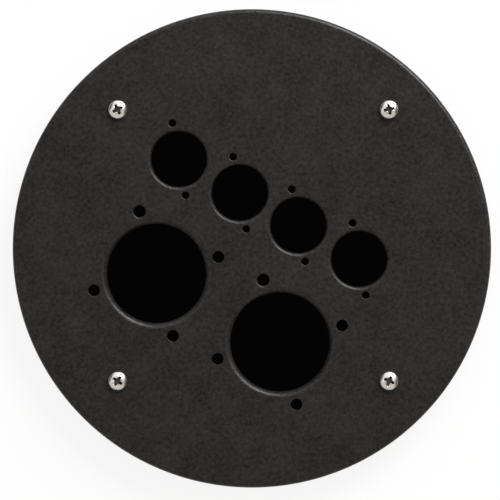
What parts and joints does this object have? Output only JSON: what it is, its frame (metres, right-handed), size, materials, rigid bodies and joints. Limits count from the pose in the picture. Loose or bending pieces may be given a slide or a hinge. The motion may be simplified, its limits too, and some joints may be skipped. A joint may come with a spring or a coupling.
{
  "type": "connector mounting plate",
  "caption": "Round flat plate with a slanting row of small round connector cut-outs, larger socket cut-outs below, screw holes beside each, and pan-head fixing screws.",
  "frame": {"origin": "middle of the four fixing screws' circle, on the plate's back face", "axes": "+Z out of the front face, +Y towards the plate's upper edge, +X to the right seen from the front"},
  "size_m": [0.2, 0.2, 0.019],
  "materials": {
    "plate": "black, fine textured, matt",
    "screw": "bright plated steel"
  },
  "bodies": {
    "root": {"mounting_plate": "plate", "screw_top_left": "screw", "screw_top_right": "screw", "screw_bottom_left": "screw", "screw_bottom_right": "screw"}
  },
  "joints": []
}
